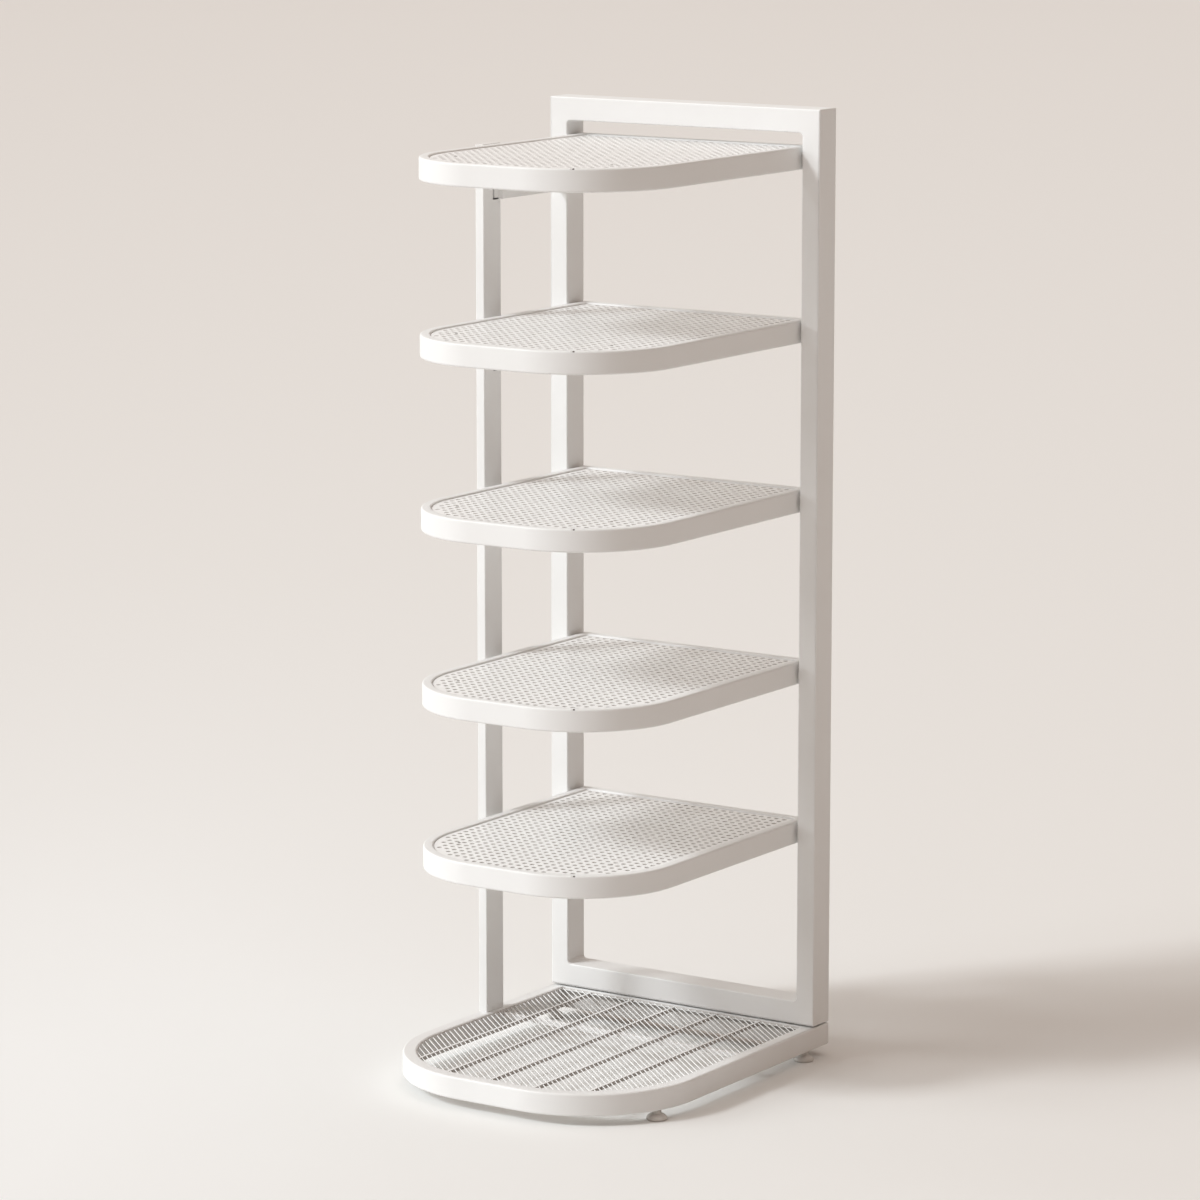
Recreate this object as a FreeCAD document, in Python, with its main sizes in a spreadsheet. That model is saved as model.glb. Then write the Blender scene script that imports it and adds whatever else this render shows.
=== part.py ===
import FreeCAD, Part
import math
import os
import Sketcher
from FreeCAD import Rotation, Vector

# Shoe tower of white coated steel: a wide base hoop over a wire rack, a tall rear frame, five
# shelves with perforated panels, and a slim post on the left that the shelves hook onto.
# The origin is on the floor, under the middle of the base. +X is to the right, +Y to the rear.

# Driving sizes, in millimetres unless the meaning says otherwise
SIZES = [
    ("tower_width", 310, "over the base and the rear frame"),
    ("tower_depth", 367.5, "front of the base to the rear of the frame"),
    ("foot_height", 10, "floor to the underside of the base"),
    ("base_height", 22, "height of the base hoop"),
    ("base_rim_width", 14, "width of the base hoop's tube"),
    ("base_radius", 120, "outer radius of the base's front corners"),
    ("base_wall", 1.5, "wall of the base hoop's tube"),
    ("frame_gap", 1.5, "gap between the base and the rear frame"),
    ("frame_depth", 30, "depth of the rear frame's tubes"),
    ("frame_wall", 1.5, "wall of the rear frame's tubes"),
    ("frame_edge_radius", 1.5, "rounding of the rear frame's long edges"),
    ("upright_width", 20, "width of an upright"),
    ("frame_rail_height", 23, "height of the frame's top and bottom rails"),
    ("frame_corner_radius", 5, "weld fillet inside the frame's corners"),
    ("frame_head", 36.5, "top shelf to the top of the frame"),
    ("tier_1", 204, "top of the base to the top of the first shelf"),
    ("tier_2", 158, "first shelf to the second"),
    ("tier_3", 168.5, "second shelf to the third"),
    ("tier_4", 164.5, "third shelf to the fourth"),
    ("tier_5", 166.5, "fourth shelf to the fifth"),
    ("shelf_gap", 3, "gap between a shelf and an upright"),
    ("shelf_setback", 17.5, "front of the base to the front of a shelf"),
    ("shelf_rear_inset", 4, "rear of a shelf to the rear of the frame"),
    ("shelf_radius", 100, "outer radius of a shelf's front corners"),
    ("rim_width", 10, "width of a shelf rim's tube"),
    ("rim_height", 22, "height of a shelf rim"),
    ("rim_wall", 1.2, "wall of a shelf rim's tube"),
    ("panel_thickness", 1.2, "perforated sheet"),
    ("panel_recess", 1.5, "top of the rim to the top of the panel"),
    ("panel_gap", 0.6, "gap between the panel and its rim"),
    ("opening_columns", 7, "count: openings across the panel"),
    ("opening_rows", 9, "count: openings from front to rear"),
    ("opening_share", 0.228, "ratio: open part of the sheet, as its fine holes leave it"),
    ("opening_margin", 8, "edge of the panel to the nearest opening"),
    ("tab_length", 20, "tab that carries the panel, along the rim"),
    ("tab_reach", 8, "tab, from the rim's inner face"),
    ("tab_thickness", 1.5, "tab"),
    ("tab_inset", 45, "end of a rim's straight side to the middle of its tab"),
    ("post_width", 10, "post, across the tower"),
    ("post_depth", 29, "post, from front to rear"),
    ("post_wall", 1.5, "wall of the post's tube"),
    ("post_edge_radius", 1.2, "rounding of the post's long edges"),
    ("post_setback", 99, "rear of the post to the front of the rear frame"),
    ("post_drop", 1.5, "top of the top shelf to the top of the post"),
    ("cap_thickness", 1.5, "cap on the post"),
    ("cap_plug", 6, "plug of the cap inside the post"),
    ("cap_gap", 0.2, "clearance round the plug"),
    ("rail_thickness", 6, "web of the rail under a shelf's left side"),
    ("rail_drop", 33.5, "underside of the shelf to the underside of the rail"),
    ("rail_flange", 3, "flange of the rail, under the shelf rim"),
    ("rail_lap", 5, "length of the rail that lies on the post"),
    ("hook_length", 9, "tongue of the rail inside the post's slot"),
    ("hook_lap", 1, "front end of the rail to the rear of its tongue"),
    ("hook_height", 20, "tongue"),
    ("hook_depth", 2.5, "tongue, from the post's inner face"),
    ("hook_gap", 0.6, "clearance round the tongue in the slot"),
    ("lug_depth", 20, "lug between a shelf and an upright, from front to rear"),
    ("lug_height", 12, "lug between a shelf and an upright"),
    ("frame_pad_spacing", 220, "between the two pads under the rear frame"),
    ("frame_pad_length", 40, "pad under the rear frame, across the tower"),
    ("frame_pad_depth", 20, "pad under the rear frame"),
    ("rack_drop", 1.5, "top of the base to the top of the rack wires"),
    ("rack_gap", 0.3, "ends of the rack to the base hoop's bend"),
    ("wire_size", 1.2, "rack wire, height and width"),
    ("wire_pitch", 5.27, "rack wire to rack wire, square to the wires"),
    ("wire_angle", 41.7, "degrees that the wires turn from left to right"),
    ("wire_least", 12, "shortest wire worth welding in a corner"),
    ("rack_bar_width", 2.5, "rack bar"),
    ("rack_bar_height", 3, "rack bar"),
    ("rack_bar_left", 34, "inside of the base hoop to the first rack bar"),
    ("rack_bar_right", 48, "last rack bar to the inside of the base hoop"),
    ("cross_bar_width", 5, "bar under the rack bars"),
    ("cross_bar_height", 4, "bar under the rack bars"),
    ("cross_bar_setback", 102.8, "cross bar to the front of the rear frame"),
    ("foot_diameter", 20, "pad of a foot"),
    ("foot_sides", 16, "count: sides of the pad's round"),
    ("foot_brow_diameter", 18.4, "pad, where its side turns in to the dome"),
    ("foot_brow", 2.4, "floor to the turn of the pad's side"),
    ("foot_shoulder", 7, "floor to the foot of the pad's neck"),
    ("foot_neck_diameter", 9, "neck of the pad"),
    ("foot_gap", 0.5, "neck of the pad to the underside of the base"),
    ("foot_floor", 2.5, "thickness of the pad under the stud"),
    ("stud_diameter", 6, "stud of a foot"),
    ("stud_length", 24, "stud of a foot"),
    ("thread_clearance", 0.05, "stud to its boss and to its pad, at the radius"),
    ("boss_diameter", 10, "threaded boss inside the base"),
    ("boss_height", 5, "threaded boss inside the base"),
    ("front_foot_reach", 40.4, "front feet ahead of the start of the base's bend"),
    ("rear_foot_inset", 36, "rear feet to the rear of the base"),
]
TIERS = range(1, 6)
RACK_BARS = range(1, 6)
SIDES = {"left": -1, "right": 1}

doc = FreeCAD.newDocument("shoe_tower")
sheet = doc.addObject("Spreadsheet::Sheet", "sizes")
for row, (name, value, meaning) in enumerate(SIZES, start=1):
    sheet.set(f"A{row}", name)
    sheet.set(f"B{row}", str(value))
    sheet.setAlias(f"B{row}", name)
    sheet.set(f"C{row}", meaning)
doc.recompute()

# Places that several pieces share, as expressions on the sheet
HALF_WIDTH = "(sizes.tower_width / 2)"
FRONT = "(-sizes.tower_depth / 2)"
REAR = "(sizes.tower_depth / 2)"
BASE_TOP = "(sizes.foot_height + sizes.base_height)"
FRAME_FRONT = f"({REAR} - sizes.frame_depth)"
FRAME_MIDDLE = f"({REAR} - sizes.frame_depth / 2)"
FRAME_BOTTOM = f"({BASE_TOP} + sizes.frame_gap)"
UPRIGHT_INNER = f"({HALF_WIDTH} - sizes.upright_width)"
SHELF_HALF = f"({UPRIGHT_INNER} - sizes.shelf_gap)"
SHELF_FRONT = f"({FRONT} + sizes.shelf_setback)"
SHELF_REAR = f"({REAR} - sizes.shelf_rear_inset)"
POST_INNER = f"(sizes.post_width - {HALF_WIDTH})"
POST_REAR = f"({FRAME_FRONT} - sizes.post_setback)"
POST_FRONT = f"({POST_REAR} - sizes.post_depth)"
RAIL_FRONT = f"({POST_REAR} - sizes.rail_lap)"
WIRE_TOP = f"({BASE_TOP} - sizes.rack_drop)"
RACK_BAR_TOP = f"({WIRE_TOP} - sizes.wire_size)"
CROSS_BAR_TOP = f"({RACK_BAR_TOP} - sizes.rack_bar_height)"
STUD_BORE_RADIUS = "(sizes.stud_diameter / 2 + sizes.thread_clearance)"


def shelf_top(tier):
    rises = [f"sizes.tier_{below}" for below in range(1, tier + 1)]
    return "(" + " + ".join([BASE_TOP] + rises) + ")"


def shelf_bottom(tier):
    return f"({shelf_top(tier)} - sizes.rim_height)"


FRAME_TOP = f"({shelf_top(len(TIERS))} + sizes.frame_head)"


def number(expression):
    return float(sheet.evalExpression(expression))


# Each sub-part, in the order it was made
sub_parts = []


def keep(piece, label):
    piece.Label = label
    sub_parts.append(piece)
    return piece


def place(piece, x="0", y="0", z="0"):
    for letter, expression in zip("xyz", (x, y, z)):
        piece.setExpression(f"Placement.Base.{letter}", expression)


def new_body(label):
    return keep(doc.addObject("PartDesign::Body", label), label)


def new_sketch(body, role, lift="0"):
    plane = next(item for item in body.Origin.OriginFeatures if item.Role == role)
    sketch = body.newObject("Sketcher::SketchObject", body.Name + "_sketch")
    sketch.AttachmentSupport = [(plane, "")]
    sketch.MapMode = "FlatFace"
    sketch.setExpression("AttachmentOffset.Base.z", lift)
    return sketch


def bind(sketch, kind, places, expression):
    index = sketch.addConstraint(Sketcher.Constraint(kind, *places, number(expression)))
    sketch.renameConstraint(index, f"size_{index}")
    sketch.setExpression(f"Constraints.size_{index}", expression)


def arc_between(start, end, radius):
    """The short arc from start to end that turns left, about a centre on its left."""
    half_chord = (end - start) / 2
    offset = math.sqrt(radius ** 2 - half_chord.Length ** 2)
    left = Vector(-half_chord.y, half_chord.x, 0).normalize()
    centre = start + half_chord + left * offset
    first = math.atan2(start.y - centre.y, start.x - centre.x)
    last = math.atan2(end.y - centre.y, end.x - centre.x)
    if last < first:
        last += 2 * math.pi
    return Part.ArcOfCircle(Part.Circle(centre, Vector(0, 0, 1), radius), first, last)


def outline(sketch, corners, arcs=None):
    """A closed outline, drawn anticlockwise; arcs gives the radius of each round side by its index."""
    arcs = arcs or {}
    first = sketch.GeometryCount
    points = [Vector(number(x), number(y), 0) for x, y in corners]
    count = len(points)
    for side, start in enumerate(points):
        end = points[(side + 1) % count]
        if side in arcs:
            sketch.addGeometry(arc_between(start, end, number(arcs[side])))
        else:
            sketch.addGeometry(Part.LineSegment(start, end))
    for side in range(count):
        following = first + (side + 1) % count
        sketch.addConstraint(Sketcher.Constraint("Coincident", first + side, 2, following, 1))
    for side, (x, y) in enumerate(corners):
        bind(sketch, "DistanceX", (-1, 1, first + side, 1), x)
        bind(sketch, "DistanceY", (-1, 1, first + side, 1), y)
    for side, radius in arcs.items():
        bind(sketch, "Radius", (first + side,), radius)


def rectangle(sketch, left, right, low, high):
    outline(sketch, [(left, low), (right, low), (right, high), (left, high)])


def round_rectangle(sketch, left, right, low, high, radius):
    corners = [
        (f"{left} + {radius}", low), (f"{right} - {radius}", low),
        (right, f"{low} + {radius}"), (right, f"{high} - {radius}"),
        (f"{right} - {radius}", high), (f"{left} + {radius}", high),
        (left, f"{high} - {radius}"), (left, f"{low} + {radius}"),
    ]
    outline(sketch, corners, {side: radius for side in (1, 3, 5, 7)})


def bow(sketch, half, front, rear, radius):
    """A tier's plan: square at the rear, with two round corners at the front."""
    corners = [
        (f"-{half}", rear), (f"-{half}", f"{front} + {radius}"),
        (f"-{half} + {radius}", front), (f"{half} - {radius}", front),
        (half, f"{front} + {radius}"), (half, rear),
    ]
    outline(sketch, corners, {1: radius, 3: radius})


def circle(sketch, x, y, radius):
    index = sketch.addGeometry(Part.Circle(Vector(number(x), number(y), 0), Vector(0, 0, 1), number(radius)))
    bind(sketch, "DistanceX", (-1, 1, index, 3), x)
    bind(sketch, "DistanceY", (-1, 1, index, 3), y)
    bind(sketch, "Radius", (index,), radius)


def pad(body, sketch, length, midplane=False):
    feature = body.newObject("PartDesign::Pad", body.Name + "_pad")
    feature.Profile = sketch
    feature.SideType = "Symmetric" if midplane else "One side"
    feature.setExpression("Length", length)
    doc.recompute()


def pocket(body, sketch, length, midplane=False, reverse=False):
    volume = body.Shape.Volume
    feature = body.newObject("PartDesign::Pocket", body.Name + "_pocket")
    feature.Profile = sketch
    feature.SideType = "Symmetric" if midplane else "One side"
    feature.Reversed = reverse
    feature.setExpression("Length", length)
    doc.recompute()
    if body.Shape.Volume > volume - 1:
        raise ValueError(f"a pocket of {body.Label} cuts nothing")


def box(name, low, high):
    piece = doc.addObject("Part::Box", name)
    for length, start, end in zip(("Length", "Width", "Height"), low, high):
        piece.setExpression(length, f"{end} - {start}")
    place(piece, *low)
    return piece


def group(label, pieces):
    joined = keep(doc.addObject("Part::MultiFuse", label), label)
    joined.Shapes = pieces


# Hoops: the base and the shelf rims

def hoop(body, height, wall, half, front, rear, radius, width, rear_width):
    """A closed hoop of tube, from its own bottom face up: floor, two walls and roof."""
    def ring(sketch, inset, rear_inset):
        bow(sketch, f"({half} - {inset})", f"({front} + {inset})", f"({rear} - {rear_inset})",
            f"({radius} - {inset})")

    def plate(lift):
        sketch = new_sketch(body, "XY_Plane", lift)
        ring(sketch, "0", "0")
        ring(sketch, width, rear_width)
        pad(body, sketch, wall)

    plate("0")
    walls = new_sketch(body, "XY_Plane", wall)
    ring(walls, "0", "0")
    ring(walls, wall, wall)
    ring(walls, f"({width} - {wall})", f"({rear_width} - {wall})")
    ring(walls, width, rear_width)
    pad(body, walls, f"{height} - 2 * {wall}")
    plate(f"{height} - {wall}")


def make_base_rim():
    body = new_body("base_rim")
    hoop(body, "sizes.base_height", "sizes.base_wall", HALF_WIDTH, FRONT, REAR, "sizes.base_radius",
         "sizes.base_rim_width", "sizes.frame_depth")
    bosses = new_sketch(body, "XY_Plane", "sizes.base_wall")
    bores = new_sketch(body, "XY_Plane")
    for x, y in FEET.values():
        circle(bosses, x, y, "sizes.boss_diameter / 2")
        circle(bores, x, y, STUD_BORE_RADIUS)
    pad(body, bosses, "sizes.boss_height")
    pocket(body, bores, "sizes.base_wall + sizes.boss_height", reverse=True)
    place(body, z="sizes.foot_height")


def make_shelf_rim(tier):
    body = new_body(f"shelf_rim_{tier}")
    hoop(body, "sizes.rim_height", "sizes.rim_wall", SHELF_HALF, SHELF_FRONT, SHELF_REAR,
         "sizes.shelf_radius", "sizes.rim_width", "sizes.rim_width")
    make_tabs(body)
    place(body, z=shelf_bottom(tier))


def make_tabs(body):
    """Six tabs inside a rim, which the panel lies on."""
    root = "(sizes.rim_width - sizes.rim_wall / 2)"
    tip = "(sizes.rim_width + sizes.tab_reach)"
    half_length = "sizes.tab_length / 2"
    tab_top = "sizes.rim_height - sizes.panel_recess - sizes.panel_thickness"
    sketch = new_sketch(body, "XY_Plane", f"{tab_top} - sizes.tab_thickness")
    rear_y = f"({SHELF_REAR} - sizes.tab_inset)"
    front_y = f"({SHELF_FRONT} + sizes.shelf_radius + sizes.tab_inset)"
    for side_y in (rear_y, front_y):
        low, high = f"{side_y} - {half_length}", f"{side_y} + {half_length}"
        rectangle(sketch, f"{root} - {SHELF_HALF}", f"{tip} - {SHELF_HALF}", low, high)
        rectangle(sketch, f"{SHELF_HALF} - {tip}", f"{SHELF_HALF} - {root}", low, high)
    rectangle(sketch, f"-{half_length}", half_length, f"{SHELF_FRONT} + {root}", f"{SHELF_FRONT} + {tip}")
    rectangle(sketch, f"-{half_length}", half_length, f"{SHELF_REAR} - {tip}", f"{SHELF_REAR} - {root}")
    pad(body, sketch, "sizes.tab_thickness")


# Panels: one holed face each, thickened

def bow_wire(half, front, rear, radius):
    slope = math.sqrt(0.5) * radius
    left = Vector(radius - half, front + radius, 0)
    right = Vector(half - radius, front + radius, 0)
    points = [
        Vector(-half, rear, 0), Vector(-half, left.y, 0), Vector(left.x, front, 0),
        Vector(right.x, front, 0), Vector(half, right.y, 0), Vector(half, rear, 0),
    ]
    edges = [
        Part.LineSegment(points[0], points[1]),
        Part.Arc(points[1], left + Vector(-slope, -slope, 0), points[2]),
        Part.LineSegment(points[2], points[3]),
        Part.Arc(points[3], right + Vector(slope, -slope, 0), points[4]),
        Part.LineSegment(points[4], points[5]),
        Part.LineSegment(points[5], points[0]),
    ]
    return Part.Wire([edge.toShape() for edge in edges])


def inside_bow(x, y, half, front, rear, radius, margin):
    past_x = abs(x) - (half - radius)
    past_y = (front + radius) - y
    if past_x > 0 and past_y > 0:
        return math.hypot(past_x, past_y) <= radius - margin
    return abs(x) <= half - margin and front + margin <= y <= rear - margin


def panel_solid():
    """A plain grid of openings, together as open as the sheet's fine holes."""
    inset = number("sizes.rim_width + sizes.panel_gap")
    half = number(SHELF_HALF) - inset
    front = number(SHELF_FRONT) + inset
    rear = number(SHELF_REAR) - inset
    radius = number("sizes.shelf_radius") - inset
    margin = number("sizes.opening_margin")
    columns = int(number("sizes.opening_columns"))
    rows = int(number("sizes.opening_rows"))
    pitch_x, pitch_y = 2 * half / columns, (rear - front) / rows
    reach = math.sqrt(number("sizes.opening_share")) / 2
    wires = [bow_wire(half, front, rear, radius)]
    for column in range(columns):
        for row in range(rows):
            x, y = (column + 0.5) * pitch_x - half, (row + 0.5) * pitch_y + front
            left, right = x - reach * pitch_x, x + reach * pitch_x
            low, high = y - reach * pitch_y, y + reach * pitch_y
            corners = [Vector(left, low), Vector(right, low), Vector(right, high), Vector(left, high)]
            if all(inside_bow(p.x, p.y, half, front, rear, radius, margin) for p in corners):
                wires.append(Part.makePolygon(corners + corners[:1]))
    face = Part.makeFace(wires, "Part::FaceMakerBullseye")
    return face.extrude(Vector(0, 0, number("sizes.panel_thickness")))


def make_panel(tier, solid):
    panel = keep(doc.addObject("Part::Feature", f"shelf_panel_{tier}"), f"shelf_panel_{tier}")
    panel.Shape = solid
    place(panel, z=f"{shelf_top(tier)} - sizes.panel_recess - sizes.panel_thickness")


# Rear frame: four mitred tubes

def make_upright(name, side):
    body = new_body(f"{name}_upright")
    left, right = (UPRIGHT_INNER, HALF_WIDTH) if side > 0 else (f"(-{HALF_WIDTH})", f"(-{UPRIGHT_INNER})")
    profile = new_sketch(body, "XY_Plane", FRAME_BOTTOM)
    round_rectangle(profile, left, right, FRAME_FRONT, REAR, "sizes.frame_edge_radius")
    rectangle(profile, f"{left} + sizes.frame_wall", f"{right} - sizes.frame_wall",
              f"{FRAME_FRONT} + sizes.frame_wall", f"{REAR} - sizes.frame_wall")
    pad(body, profile, f"{FRAME_TOP} - {FRAME_BOTTOM}")
    inner, outer = f"{side} * {UPRIGHT_INNER}", f"{side} * {HALF_WIDTH}"
    mitres = new_sketch(body, "XZ_Plane")
    under_top = f"{FRAME_TOP} - sizes.frame_rail_height"
    over_bottom = f"{FRAME_BOTTOM} + sizes.frame_rail_height"
    upper = [(inner, under_top), (outer, FRAME_TOP), (inner, FRAME_TOP)]
    lower = [(inner, FRAME_BOTTOM), (outer, FRAME_BOTTOM), (inner, over_bottom)]
    for corners in (upper, lower):
        outline(mitres, corners if side > 0 else corners[::-1])
    pocket(body, mitres, "2 * sizes.tower_depth", midplane=True)


def make_frame_rail(name, low):
    body = new_body(f"{name}_rail")
    high = f"({low} + sizes.frame_rail_height)"
    profile = new_sketch(body, "YZ_Plane")
    round_rectangle(profile, FRAME_FRONT, REAR, low, high, "sizes.frame_edge_radius")
    rectangle(profile, f"{FRAME_FRONT} + sizes.frame_wall", f"{REAR} - sizes.frame_wall",
              f"{low} + sizes.frame_wall", f"{high} - sizes.frame_wall")
    pad(body, profile, "sizes.tower_width", midplane=True)
    inner_edge, outer_edge, inward = (low, high, -1) if name == "top" else (high, low, 1)
    mitres = new_sketch(body, "XZ_Plane")
    for side in SIDES.values():
        inner, outer = f"{side} * {UPRIGHT_INNER}", f"{side} * {HALF_WIDTH}"
        corners = [(inner, inner_edge), (outer, inner_edge), (outer, outer_edge)]
        outline(mitres, corners if side * inward < 0 else corners[::-1])
    pocket(body, mitres, "2 * sizes.tower_depth", midplane=True)
    make_weld_fillets(body, inner_edge, inward)


def make_weld_fillets(body, inner_edge, inward):
    """Fills the rail's two inner corners with a hollow round."""
    sketch = new_sketch(body, "XZ_Plane", f"-{FRAME_MIDDLE}")
    reach = "sizes.frame_corner_radius"
    for side in SIDES.values():
        heel = (f"{side} * {UPRIGHT_INNER}", inner_edge)
        along_rail = (f"{side} * ({UPRIGHT_INNER} - {reach})", inner_edge)
        along_upright = (f"{side} * {UPRIGHT_INNER}", f"{inner_edge} + {inward} * {reach}")
        if side * inward > 0:
            along_rail, along_upright = along_upright, along_rail
        hollow_corner(sketch, heel, along_rail, along_upright, reach)
    pad(body, sketch, "sizes.frame_depth - 2 * sizes.frame_edge_radius", midplane=True)


def hollow_corner(sketch, heel, start, end, radius):
    """Two straight sides from the heel, and between their ends an arc that bows in towards it."""
    first = sketch.GeometryCount
    corners = [heel, start, end]
    points = [Vector(number(x), number(y), 0) for x, y in corners]
    sketch.addGeometry(Part.LineSegment(points[0], points[1]))
    sketch.addGeometry(arc_between(points[2], points[1], number(radius)))
    sketch.addGeometry(Part.LineSegment(points[2], points[0]))
    sketch.addConstraint(Sketcher.Constraint("Coincident", first, 2, first + 1, 2))
    sketch.addConstraint(Sketcher.Constraint("Coincident", first + 1, 1, first + 2, 1))
    sketch.addConstraint(Sketcher.Constraint("Coincident", first + 2, 2, first, 1))
    ends = [(first, 1), (first, 2), (first + 2, 1)]
    for (x, y), end_point in zip(corners, ends):
        bind(sketch, "DistanceX", (-1, 1) + end_point, x)
        bind(sketch, "DistanceY", (-1, 1) + end_point, y)
    bind(sketch, "Radius", (first + 1,), radius)


def make_frame():
    for name, side in SIDES.items():
        make_upright(name, side)
    make_frame_rail("top", f"({FRAME_TOP} - sizes.frame_rail_height)")
    make_frame_rail("bottom", FRAME_BOTTOM)
    pads = []
    y_low = f"({FRAME_MIDDLE} - sizes.frame_pad_depth / 2)"
    y_high = f"({FRAME_MIDDLE} + sizes.frame_pad_depth / 2)"
    for side in SIDES.values():
        middle = f"{side} * sizes.frame_pad_spacing / 2"
        x_low, x_high = f"({middle} - sizes.frame_pad_length / 2)", f"({middle} + sizes.frame_pad_length / 2)"
        pads.append(box("frame_pad", (x_low, y_low, BASE_TOP), (x_high, y_high, FRAME_BOTTOM)))
    group("frame_pads", pads)


# Post and the rails that hook into it

def rail_bottom(tier):
    return f"({shelf_bottom(tier)} - sizes.rail_drop)"


def make_post():
    body = new_body("left_post")
    profile = new_sketch(body, "XY_Plane", BASE_TOP)
    round_rectangle(profile, f"(-{HALF_WIDTH})", POST_INNER, POST_FRONT, POST_REAR, "sizes.post_edge_radius")
    rectangle(profile, f"sizes.post_wall - {HALF_WIDTH}", f"{POST_INNER} - sizes.post_wall",
              f"{POST_FRONT} + sizes.post_wall", f"{POST_REAR} - sizes.post_wall")
    tube_top = f"({shelf_top(len(TIERS))} - sizes.post_drop - sizes.cap_thickness)"
    pad(body, profile, f"{tube_top} - {BASE_TOP}")
    slots = new_sketch(body, "YZ_Plane", POST_INNER)
    for tier in TIERS:
        hook_outline(slots, rail_bottom(tier), "sizes.hook_gap")
    pocket(body, slots, "sizes.post_wall")

    cap = new_body("post_cap")
    plate = new_sketch(cap, "XY_Plane", tube_top)
    round_rectangle(plate, f"(-{HALF_WIDTH})", POST_INNER, POST_FRONT, POST_REAR, "sizes.post_edge_radius")
    pad(cap, plate, "sizes.cap_thickness")
    inset = "(sizes.post_wall + sizes.cap_gap)"
    plug = new_sketch(cap, "XY_Plane", f"{tube_top} - sizes.cap_plug")
    rectangle(plug, f"{inset} - {HALF_WIDTH}", f"{POST_INNER} - {inset}",
              f"{POST_FRONT} + {inset}", f"{POST_REAR} - {inset}")
    pad(cap, plug, "sizes.cap_plug")


def hook_outline(sketch, low, gap):
    """The tongue's outline on the post's inner face, or its slot where there is a gap."""
    hook_rear = f"({RAIL_FRONT} + sizes.hook_lap)"
    rectangle(sketch, f"{hook_rear} - sizes.hook_length - {gap}", f"{hook_rear} + {gap}",
              f"{low} - {gap}", f"{low} + sizes.hook_height + {gap}")


def make_shelf_rail(tier):
    body = new_body(f"shelf_rail_{tier}")
    low, high = rail_bottom(tier), shelf_bottom(tier)
    web_right = f"({POST_INNER} + sizes.rail_thickness)"
    profile = new_sketch(body, "XZ_Plane", f"-{FRAME_FRONT}")
    flange_tip = f"(sizes.rim_width - {SHELF_HALF})"
    flange_low = f"({high} - sizes.rail_flange)"
    outline(profile, [(POST_INNER, low), (web_right, low), (web_right, flange_low), (flange_tip, flange_low),
                      (flange_tip, high), (POST_INNER, high)])
    pad(body, profile, f"{FRAME_FRONT} - {RAIL_FRONT}")
    tongue = new_sketch(body, "YZ_Plane", f"{POST_INNER} - sizes.hook_depth")
    hook_outline(tongue, low, "0")
    pad(body, tongue, "sizes.hook_depth")


# Rack in the base

def make_rack():
    inset = "(sizes.base_rim_width + sizes.rack_gap)"
    half = number(f"{HALF_WIDTH} - {inset}")
    front = number(f"{FRONT} + {inset}")
    rear = number(FRAME_FRONT)
    room = Part.Face(bow_wire(half, front, rear, number(f"sizes.base_radius - {inset}")))
    for bar in RACK_BARS:
        make_rack_bar(bar, room)
    make_rack_wires(room)
    middle = f"({FRAME_FRONT} - sizes.cross_bar_setback)"
    x_high = f"({HALF_WIDTH} - sizes.base_rim_width)"
    y_low, y_high = f"({middle} - sizes.cross_bar_width / 2)", f"({middle} + sizes.cross_bar_width / 2)"
    z_low = f"({CROSS_BAR_TOP} - sizes.cross_bar_height)"
    cross_bar = box("rack_cross_bar", (f"(-{x_high})", y_low, z_low), (x_high, y_high, CROSS_BAR_TOP))
    keep(cross_bar, "rack_cross_bar")


def make_rack_bar(bar, room):
    """One bar, whose front end follows the hoop's bend."""
    inner = f"({HALF_WIDTH} - sizes.base_rim_width)"
    room_between = f"(2 * {inner} - sizes.rack_bar_left - sizes.rack_bar_right)"
    share = (bar - 1) / (len(RACK_BARS) - 1)
    x = number(f"sizes.rack_bar_left - {inner} + {share} * {room_between}")
    width = number("sizes.rack_bar_width")
    depth = number("sizes.tower_depth")
    strip = Part.makePlane(width, depth, Vector(x - width / 2, -depth / 2, 0))
    piece = keep(doc.addObject("Part::Feature", f"rack_bar_{bar}"), f"rack_bar_{bar}")
    piece.Shape = strip.common(room).Faces[0].extrude(Vector(0, 0, number("sizes.rack_bar_height")))
    place(piece, z=CROSS_BAR_TOP)


def make_rack_wires(room):
    """Straight wires across the bars, at a slant, each cut to the hoop's inside."""
    size = number("sizes.wire_size")
    pitch = number("sizes.wire_pitch")
    least = number("sizes.wire_least") * size
    reach = number("sizes.tower_width + sizes.tower_depth")
    turn = FreeCAD.Placement(Vector(), Rotation(Vector(0, 0, 1), -number("sizes.wire_angle")))
    count = int(reach / 2 // pitch)
    wires = []
    for index in range(-count, count + 1):
        strip = Part.makePlane(reach, size, Vector(-reach / 2, index * pitch - size / 2, 0))
        strip.Placement = turn
        pieces = strip.common(room).Faces
        wires += [face.extrude(Vector(0, 0, size)) for face in pieces if face.Area > least]
    rack = keep(doc.addObject("Part::Feature", "rack_wires"), "rack_wires")
    rack.Shape = Part.makeCompound(wires)
    place(rack, z=RACK_BAR_TOP)


# Lugs that hold a shelf between the uprights

def make_shelf_lugs(tier):
    middle = f"({shelf_top(tier)} - sizes.rim_height / 2)"
    y_low, y_high = f"({FRAME_MIDDLE} - sizes.lug_depth / 2)", f"({FRAME_MIDDLE} + sizes.lug_depth / 2)"
    z_low, z_high = f"({middle} - sizes.lug_height / 2)", f"({middle} + sizes.lug_height / 2)"
    left = box("shelf_lug", (f"(-{UPRIGHT_INNER})", y_low, z_low), (f"(-{SHELF_HALF})", y_high, z_high))
    right = box("shelf_lug", (SHELF_HALF, y_low, z_low), (UPRIGHT_INNER, y_high, z_high))
    group(f"shelf_lugs_{tier}", [left, right])


# Feet

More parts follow.
